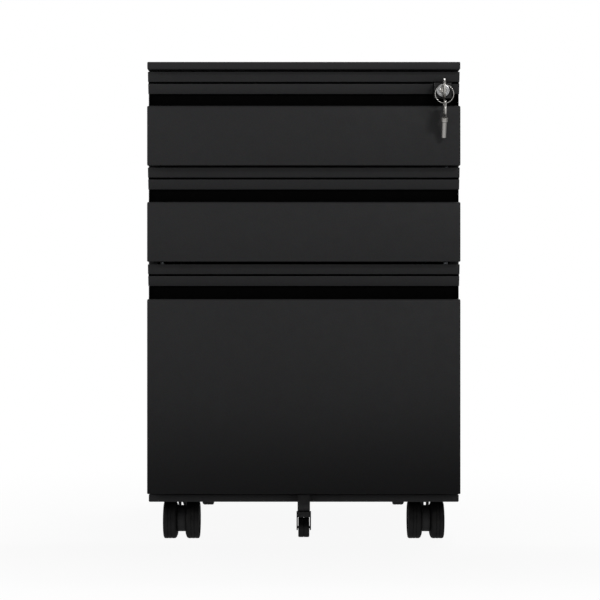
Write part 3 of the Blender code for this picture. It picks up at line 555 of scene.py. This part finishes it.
HEM_RADIUS = 0.0012
HEM_BEND = 0.004
turn = [math.radians(angle) for angle in range(0, 91, 15)]
for number in (1, 2):
    tray = f"drawer_{number}_tray"
    wall_x, wall_y, wall_z = wall_of(tray)
    x, y, front = wall_x - SHEET / 2, wall_y - SHEET / 2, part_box(tray)[0].y + SHEET
    corner = [(x - HEM_BEND + HEM_BEND * math.cos(a), y - HEM_BEND + HEM_BEND * math.sin(a)) for a in turn]
    line = [(x, front)] + corner + [(-px, py) for px, py in reversed(corner)] + [(-x, front)]
    bead = wire([(px, py, wall_z) for px, py in line], HEM_RADIUS)
    put(f"drawer_{number}_tray_hem", bead, f"drawer_{number}", "tray_paint")
print("hems are", round(HEM_RADIUS * 2000, 1), "mm thick")

# %% [markdown]
# ## Rubber bumpers
# When a drawer shuts, its plate meets small stuck-on rubber domes and not the bare frame. They are 8 mm
# across and a little thinner than the gap that they fill.

# %% Bumpers on the side panels
BUMPER_RADIUS = 0.004
BUMPER_HEIGHT = 0.0008
BUMPER_CROWN = 0.0028
BUMPER_FROM_EDGE = 0.0062
BUMPER_FROM_TOP = 0.03
rim_drop = BUMPER_HEIGHT / 4
BUMPER = [(0, BUMPER_HEIGHT), (BUMPER_CROWN, BUMPER_HEIGHT - rim_drop), (BUMPER_RADIUS, rim_drop),
          (BUMPER_RADIUS, 0), (0, 0)]
panel_low, panel_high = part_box("right_side_panel")
domes = []
for number in (1, 2, 3):
    low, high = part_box(f"drawer_{number}_tray")
    for z in (low.z + BUMPER_FROM_TOP, high.z - BUMPER_FROM_TOP):
        for side in (-1, 1):
            place = at(side * (panel_high.x - BUMPER_FROM_EDGE), panel_low.y, z)
            domes.append(moved(turned(BUMPER, RIVET_STEPS), TO_FRONT, place))
print(len(domes), "bumpers")
put("carcass_bumpers", joined(domes), "carcass", "wheel_nylon", rubber)

# %% [markdown]
# ## Screws in the back panel
# The back is screwed on from outside with countersunk screws, so its heads must lie flush. Each head sits
# in a cone-shaped pocket. The pockets are cut with a Boolean modifier, and the result is kept as the
# panel's mesh.

# %% Pockets and screws
POCKET_RADIUS = 0.0035
HEAD_RADIUS = 0.0032
SOCKET_RADIUS = 0.0013
SCREW_FOOT = 0.0022
POCKET_DEPTH = 0.0006
SCREW_INSET = 0.008
SCREW_SHARES = (0, 0.33, 0.67, 1)
POCKET = [(0, 0.001), (POCKET_RADIUS, 0.001), (POCKET_RADIUS, 0), (SCREW_FOOT, -POCKET_DEPTH),
          (0, -POCKET_DEPTH)]
HEAD = [(0, -0.0005), (SOCKET_RADIUS, -0.0005), (SOCKET_RADIUS, -0.0001), (HEAD_RADIUS - 0.0003, -0.0001),
        (HEAD_RADIUS, -0.0002), (SCREW_FOOT, -POCKET_DEPTH), (0, -POCKET_DEPTH)]
back_low, back_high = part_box("back_panel")
screw_run = back_high.z - back_low.z - 2 * SCREW_INSET
screw_places = [
    at(side * (back_high.x - SCREW_INSET), back_high.y, back_low.z + SCREW_INSET + share * screw_run)
    for side in (-1, 1) for share in SCREW_SHARES
]
cutter_mesh = bpy.data.meshes.new("pockets")
pockets = joined([moved(turned(POCKET, RIVET_STEPS), TO_BACK, place) for place in screw_places])
bmesh.ops.recalc_face_normals(pockets, faces=pockets.faces)
pockets.to_mesh(cutter_mesh)
pockets.free()
cutter = bpy.data.objects.new("pockets", cutter_mesh)
bpy.context.scene.collection.objects.link(cutter)
back = bpy.data.objects["back_panel_rounded"]
cut = back.modifiers.new("Pockets", "BOOLEAN")
cut.object = cutter
bpy.context.view_layer.update()
cut_mesh = bpy.data.meshes.new_from_object(back.evaluated_get(bpy.context.evaluated_depsgraph_get()))
back.modifiers.clear()
back.data = cut_mesh
bpy.data.objects.remove(cutter)
heads = [moved(turned(HEAD, RIVET_STEPS), TO_BACK, place) for place in screw_places]
put("back_panel_screws", joined(heads), "carcass", "zinc_steel", screw_zinc)
print(len(screw_places), "screws, and the panel now has", len(cut_mesh.polygons), "faces")

# %% [markdown]
# ## The lock
# The lock is a chrome plug in a square ABS surround. A bead runs round the plug's face, and that bead is
# the brightest line on the whole front. The cam and the bar behind it are plain zinc-plated strip.

# %% Lock
BEAD_RADIUS = 0.0009
BEAD_STEPS = 20
HOUSING_EDGE = 0.0006
LOCK_EDGE = 0.0003
rounded_copy("lock_housing", HOUSING_EDGE)
for node in ("lock_plug", "lock_cam", "lock_bar"):
    rounded_copy(node, LOCK_EDGE)
plug_low, plug_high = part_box("lock_plug")
plug_radius = (plug_high.x - plug_low.x) / 2
lock = Vector(((plug_low.x + plug_high.x) / 2, plug_low.y, (plug_low.z + plug_high.z) / 2))
bead = []
for step in range(BEAD_STEPS + 1):
    angle = 2 * math.pi * step / BEAD_STEPS
    bead.append((plug_radius - BEAD_RADIUS * (1 - math.cos(angle)), BEAD_RADIUS * math.sin(angle)))
put("lock_face_bead", moved(turned(bead), TO_FRONT, at(*lock)), "lock_plug", "lock_chrome")
print("the plug is", round(plug_radius * 2000, 1), "mm across")

# %% [markdown]
# ## Keys
# Each key is a brass tube with a collar, brazed into a stamped bow, and nickel-plated. The bow is an oval
# plate with a raised rim and a hole for the ring. It is drawn as a flat curve with a hole, extruded and
# beveled, with a bead for the rim. The shank is turned. Both keys share one drawing, made about the
# centre of the hole: the shank runs down -Z from the bow. The bow's two sizes are measured from its
# centre.

# %% One key
BOW_HEIGHT = 0.0129
BOW_LENGTH = 0.0115
BOW_THICK = 0.0022
BOW_EDGE = 0.0004
RIM_RADIUS = 0.0015
HOLE_RADIUS = 0.0025
HOLE_SIDE = 0.006
HOLE_OUT = 0.0045
COLLAR_SUNK = 0.0015
COLLAR_TOP = HOLE_OUT + BOW_LENGTH - COLLAR_SUNK
SHANK_LENGTH = 0.026
SHANK_STEPS = 48
OVAL_STEPS = 72
SHANK = [
    (0, 0), (0.0037, 0), (0.0043, -0.0006), (0.0043, -0.002), (0.0039, -0.0023), (0.0039, -0.0029),
    (0.0043, -0.0032), (0.0043, -0.0054), (0.0037, -0.006), (0.0032, -0.006), (0.0032, -0.0256),
    (0.0028, -SHANK_LENGTH), (0.0023, -SHANK_LENGTH), (0.0021, -0.0257), (0.0021, -0.018), (0, -0.018),
]
FLAT_ACROSS_X = Matrix(((0, 0, 1, 0), (1, 0, 0, 0), (0, 1, 0, 0), (0, 0, 0, 1)))


def oval(half_width, half_height, centre=(0, 0)):
    turns = [2 * math.pi * step / OVAL_STEPS for step in range(OVAL_STEPS)]
    return [(centre[0] + half_width * math.cos(t), centre[1] + half_height * math.sin(t)) for t in turns]


def stamped(outlines, thickness, edge):
    data = bpy.data.curves.new("outline", "CURVE")
    data.dimensions = "2D"
    data.fill_mode = "BOTH"
    data.extrude = thickness / 2 - edge
    data.bevel_depth = edge
    data.bevel_resolution = 2
    for outline in outlines:
        run = data.splines.new("POLY")
        run.points.add(len(outline) - 1)
        for point, (x, y) in zip(run.points, outline):
            point.co = (x, y, 0, 1)
        run.use_cyclic_u = True
    return from_curve(data)


def key(place):
    centre = (-HOLE_SIDE, -HOLE_OUT)
    outer = oval(BOW_HEIGHT - BOW_EDGE, BOW_LENGTH - BOW_EDGE, centre)
    hole = oval(HOLE_RADIUS + BOW_EDGE, HOLE_RADIUS + BOW_EDGE)
    bow = moved(stamped([outer, hole], BOW_THICK, BOW_EDGE), FLAT_ACROSS_X)
    rim_line = oval(BOW_HEIGHT - RIM_RADIUS, BOW_LENGTH - RIM_RADIUS, centre)
    rim = wire([(0, y, z) for y, z in rim_line], RIM_RADIUS, closed=True)
    shank = moved(turned(SHANK, SHANK_STEPS), at(0, -HOLE_SIDE, -COLLAR_TOP))
    return moved(joined([bow, rim, shank]), place)


print("a key is", round((COLLAR_TOP + SHANK_LENGTH + BOW_LENGTH - HOLE_OUT) * 1000, 1), "mm long")

# %% [markdown]
# ## Two keys
# One key is in the lock. The split ring hangs in its hole, and the spare hangs in the ring, leaning until
# its weight is below the ring. The joints already say where the ring's top and bottom are.

# %% Both keys
SPARE_TILT = math.radians(22.8)
HANG = 0.00165
ring_top = Vector(JOINTS["key_ring_swing"]["pos_m"])
ring_low = Vector(JOINTS["spare_key_swing"]["pos_m"])
put("key_fine", key(at(*ring_top) @ at(0, 0, HANG) @ TO_FRONT), "key", "key_nickel", None, ("key",))
lean = at(*ring_low) @ Matrix.Rotation(SPARE_TILT, 4, "X") @ at(0, 0, -HANG)
put("spare_key_fine", key(lean), "spare_key", "key_nickel", None, ("spare_key",))
print("the ring hangs", round((ring_top - ring_low).length * 1000, 1), "mm down from the key")

# %% [markdown]
# ## The split ring
# A split ring is two close turns of spring wire. A helix gives both turns and the small step where one
# end crosses over the other.

# %% Split ring
WIRE_RADIUS = 0.0005
TURNS = 1.96
RING_STEPS = 160
COIL_START = math.radians(200)
CROSSING = 14
ring_radius = (ring_top - ring_low).length / 2
ring_centre = (ring_top + ring_low) / 2
coil = []
for step in range(RING_STEPS + 1):
    share = step / RING_STEPS
    angle = 2 * math.pi * TURNS * share + COIL_START
    drift = math.tanh((share - 0.5) * CROSSING) * WIRE_RADIUS
    coil.append((
        ring_centre.x + ring_radius * math.cos(angle), ring_centre.y + drift,
        ring_centre.z + ring_radius * math.sin(angle)))
put("split_ring", wire(coil, WIRE_RADIUS), "key_ring", "ring_steel", None, ("key_ring",))
print("the ring is", round(ring_radius * 2000, 1), "mm across")

# %% [markdown]
# ## Caster wheels
# Each caster has two nylon wheels with a hood between them. A wheel is a moulding with a rounded tread,
# two shallow grooves round it, a stepped rim and a dished side with a raised hub. All of that is one
# turned section, whose small numbers are steps from the tread or from a side. Its radius is half the
# height of the frame's wheel, so the tread still just meets the floor.

# %% Twin wheels
BORE = 0.0033
HUB_BACK = 0.0031
GROOVE_WIDTH = 0.0009
GROOVE_DEPTH = 0.0005
TREAD_GROOVES = (0.42, 0.66)


def grooves(radius, width, shares):
    points = []
    for share in shares:
        centre = share * width
        points += [
            (radius, centre - GROOVE_WIDTH / 2), (radius - GROOVE_DEPTH, centre - GROOVE_WIDTH / 4),
            (radius - GROOVE_DEPTH, centre + GROOVE_WIDTH / 4), (radius, centre + GROOVE_WIDTH / 2),
        ]
    return points


def wheel_section(radius, width):
    inner = [(0, width - HUB_BACK), (BORE, width - HUB_BACK), (BORE, 0), (radius - 0.0045, 0),
             (radius - 0.0012, 0.0014), (radius, 0.0034)]
    outer = [(radius, width - 0.0022), (radius - 0.0003, width - 0.0011), (radius - 0.001, width - 0.0003),
             (radius - 0.002, width)]
    side = [(radius - 0.0046, width), (radius - 0.0052, width - 0.0012), (0.0105, width - 0.0019),
            (0.0101, width - 0.0006), (0.0078, width - 0.0002), (0.0074, width - 0.0009),
            (0, width - 0.0009)]
    return inner + grooves(radius, width, TREAD_GROOVES) + outer + side


for node in sorted(BODY_OF):
    if node.endswith("_caster_left_wheel") or node.endswith("_caster_right_wheel"):
        low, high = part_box(node)
        side = 1 if node.endswith("right_wheel") else -1
        start = low.x if side > 0 else high.x
        place = at(start, (low.y + high.y) / 2, (low.z + high.z) / 2)
        section = wheel_section((high.z - low.z) / 2, high.x - low.x)
        put(node + "_fine", moved(turned(section), to_side(side), place), BODY_OF[node], "wheel_nylon",
            None, (node,))
print("wheels are", round((high.z - low.z) * 1000, 1), "mm across")

# %% [markdown]
# ## Hoods, forks and the fifth wheel
# The hoods and the small fork are rounded copies. The fifth wheel hangs under the file drawer, clear of
# the floor, and only touches it if the loaded drawer starts to tip the cabinet. It is one narrow turned
# wheel with a groove.

# %% Hoods and the fifth caster
MOULD_EDGE = 0.0005
AXLE_BORE = 0.0018
for node in sorted(BODY_OF):
    if node.endswith(("_hood", "_fork", "_bracket")):
        rounded_copy(node, MOULD_EDGE)
low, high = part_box("fifth_caster_wheel")
radius, width = (high.z - low.z) / 2, high.x - low.x
small_wheel = [
    (AXLE_BORE, 0), (0.004, 0), (0.0044, 0.0006), (radius - 0.0032, 0.0006), (radius - 0.0027, 0),
    (radius - 0.0012, 0), (radius - 0.0004, 0.0004), (radius, 0.0012),
] + grooves(radius, width, (0.5,)) + [
    (radius, width - 0.0012), (radius - 0.0004, width - 0.0004), (radius - 0.0012, width),
    (radius - 0.0027, width), (radius - 0.0032, width - 0.0006), (0.0044, width - 0.0006), (0.004, width),
    (AXLE_BORE, width), (AXLE_BORE, 0),
]
place = at(low.x, (low.y + high.y) / 2, (low.z + high.z) / 2)
put("fifth_wheel_fine", moved(turned(small_wheel), to_side(1), place), "fifth_caster_wheel", "wheel_nylon",
    None, ("fifth_caster_wheel",))
print("the fifth wheel hangs", round(low.z * 1000, 1), "mm clear of the floor")

# %% [markdown]
# ## Floor, light and camera
# The studio is plain: a pale floor that fades into a white room, and a few soft boxes. The floor could be
# a curved backdrop, but then it would shade at the bend. Here it is a flat disc that is mostly plain
# white glow. Near the cabinet a little matt paint is mixed in, so that a faint shadow shows. Further out
# there is only glow, so no horizon line is seen.

# %% Floor
FLOOR_RADIUS = 14.0
FADE_RANGE = (0.2, 0.9)
NEAR_GLOW = 0.93
bpy.ops.mesh.primitive_circle_add(vertices=96, radius=FLOOR_RADIUS, fill_type="NGON", location=(0, 0, 0))
floor = bpy.context.object
floor.name = "floor"
floor_paint = bpy.data.materials.new("pale_matt_floor")
floor_paint.use_nodes = True
tree = floor_paint.node_tree
shader = tree.nodes["Principled BSDF"]
shader.inputs["Base Color"].default_value = linear("#f6f6f6")
shader.inputs["Roughness"].default_value = 0.9
place = add_node(tree, "ShaderNodeTexCoord").outputs["Object"]
distance = add_node(tree, "ShaderNodeVectorMath", {0: place}, operation="LENGTH")
fade = ranged(
    tree, distance.outputs["Value"], FADE_RANGE, (NEAR_GLOW, 1.0), interpolation_type="SMOOTHSTEP")
glow = add_node(tree, "ShaderNodeEmission", {"Color": (1, 1, 1, 1), "Strength": 1.0})
mix = add_node(tree, "ShaderNodeMixShader", {0: fade, 1: shader.outputs[0], 2: glow.outputs[0]})
tree.links.new(mix.outputs[0], tree.nodes["Material Output"].inputs["Surface"])
floor.data.materials.append(floor_paint)
floor.visible_diffuse = False
floor.visible_glossy = False
print("the floor is", 2 * FLOOR_RADIUS, "m across and fades to white by", FADE_RANGE[1], "m")

# %% [markdown]
# ## The room
# Black paint shows mostly what it mirrors, so the room matters more than the lamps. A picture of a studio
# could light it, but a few numbers are easier to change. The room is brightest in front, darker at the
# sides and behind, and dims towards its ceiling. The camera itself sees plain white.

# %% Room
ROOM_FRONT = 0.56
ROOM_SIDE = 0.22
ROOM_BELOW = 0.95
ROOM_ABOVE = 0.55
FRONT_TURN = (0.1, -0.8)
FLOOR_TURN = (-0.5, 0.0)
CEILING_TURN = (0.05, 0.7)
world = bpy.data.worlds.new("white_room")
bpy.context.scene.world = world
world.use_nodes = True
tree = world.node_tree
tree.nodes.clear()
direction = add_node(tree, "ShaderNodeTexCoord").outputs["Generated"]
axes = add_node(tree, "ShaderNodeSeparateXYZ", {"Vector": direction})
forward = ranged(
    tree, axes.outputs["Y"], FRONT_TURN, (ROOM_SIDE, ROOM_FRONT), interpolation_type="SMOOTHSTEP")
below = ranged(tree, axes.outputs["Z"], FLOOR_TURN, (ROOM_BELOW, 1.0), interpolation_type="SMOOTHSTEP")
above = ranged(
    tree, axes.outputs["Z"], CEILING_TURN, (below, ROOM_ABOVE), interpolation_type="SMOOTHSTEP")
level = add_node(tree, "ShaderNodeMath", {0: forward, 1: above}, operation="MULTIPLY")
seen = add_node(tree, "ShaderNodeBackground", {"Color": (1, 1, 1, 1), "Strength": 1.0})
lit = add_node(tree, "ShaderNodeBackground", {"Color": (1, 1, 1, 1), "Strength": level.outputs["Value"]})
path = add_node(tree, "ShaderNodeLightPath")
both = add_node(
    tree, "ShaderNodeMixShader",
    {0: path.outputs["Is Camera Ray"], 1: lit.outputs[0], 2: seen.outputs[0]})
add_node(tree, "ShaderNodeOutputWorld", {"Surface": both.outputs[0]})
print("room level:", ROOM_FRONT, "in front,", ROOM_SIDE, "at the sides and behind")

# %% [markdown]
# ## Soft boxes
# A soft box is a lamp behind a sheet of white cloth, so its edges of shadow are soft. An area light is
# just that. Four of them stand round the cabinet and all point at the middle of its front. The front one
# is small and high, and the one behind lights the floor and the back.

# %% Soft boxes
face_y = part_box("drawer_1_front")[0].y
AIM_HEIGHT = 0.32
middle = Vector((0, face_y, AIM_HEIGHT))


def soft_box(name, place, size, watts):
    light = bpy.data.lights.new(name, "AREA")
    light.shape = "RECTANGLE"
    light.size = size[0]
    light.size_y = size[1]
    light.energy = watts
    box = bpy.data.objects.new(name, light)
    bpy.context.scene.collection.objects.link(box)
    box.location = place
    box.rotation_euler = (middle - Vector(place)).to_track_quat("-Z", "Y").to_euler()
    box.visible_camera = False


SOFT_BOXES = (
    ("key_box", (1.9, -3.2, 2.4), (0.7, 0.5), 26),
    ("side_box", (-2.9, -0.6, 1.6), (1.2, 1.2), 20),
    ("top_box", (0.3, 0.9, 2.9), (1.2, 1.2), 16),
    ("back_box", (1.0, 2.8, 1.6), (1.6, 1.6), 50),
)
for name, place, size, watts in SOFT_BOXES:
    soft_box(name, place, size, watts)
print(len(SOFT_BOXES), "soft boxes with", sum(row[3] for row in SOFT_BOXES), "W in all")

# %% [markdown]
# ## Black cards
# Nearer the floor a black cabinet shows less of the bright room. Two black cards do that here, as they do
# in a studio. One lies flat in front of the casters, a little above the floor, and darkens what the
# lowest parts mirror. One stands further out and only throws a shadow: it keeps the soft box off the
# lowest part of the file drawer. The camera sees neither.

# %% Black cards
black = bpy.data.materials.new("black_flock")
black.use_nodes = True
black.node_tree.nodes["Principled BSDF"].inputs["Base Color"].default_value = (0, 0, 0, 1)
black.node_tree.nodes["Principled BSDF"].inputs["Specular IOR Level"].default_value = 0.0


def card(name, place, size, tilt):
    bpy.ops.mesh.primitive_plane_add(size=1.0, location=place)
    sheet = bpy.context.object
    sheet.name = name
    sheet.scale = (size[0], size[1], 1)
    sheet.rotation_euler = (tilt, 0, 0)
    sheet.visible_camera = False
    sheet.data.materials.append(black)
    return sheet


FLOOR_CARD_OUT = 0.155
FLOOR_CARD_HEIGHT = 0.044
STANDING_CARD_OUT = 0.50
STANDING_CARD_HEIGHT = 0.29
card("floor_card", (0, face_y - FLOOR_CARD_OUT, FLOOR_CARD_HEIGHT), (1.2, 0.30), 0.0)
shadow_place = (0.2, face_y - STANDING_CARD_OUT, STANDING_CARD_HEIGHT)
shadow_card = card("standing_card", shadow_place, (1.4, 0.42), math.radians(90))
shadow_card.visible_glossy = False
shadow_card.visible_diffuse = False
print("the standing card is", STANDING_CARD_OUT, "m in front of the drawers")

# %% [markdown]
# ## Camera
# The cabinet is seen square from the front, so its upright edges stay upright and its top is only a line.
# A long lens from 2.1 m does that. A camera at the middle of the height shows neither the top nor the
# underside.

# %% Camera
CAMERA_AWAY = 2.100
CAMERA_SIDE = -0.0047
CAMERA_HEIGHT = 0.3034
LENS = 101.3
camera_data = bpy.data.cameras.new("camera")
camera_data.sensor_width = 36
camera_data.lens = LENS
camera = bpy.data.objects.new("camera", camera_data)
bpy.context.scene.collection.objects.link(camera)
camera.location = (CAMERA_SIDE, face_y - CAMERA_AWAY, CAMERA_HEIGHT)
camera.rotation_euler = (math.radians(90), 0, 0)
bpy.context.scene.camera = camera
bpy.context.scene.view_settings.view_transform = "Standard"
print("the camera is", CAMERA_AWAY, "m away with a", LENS, "mm lens")
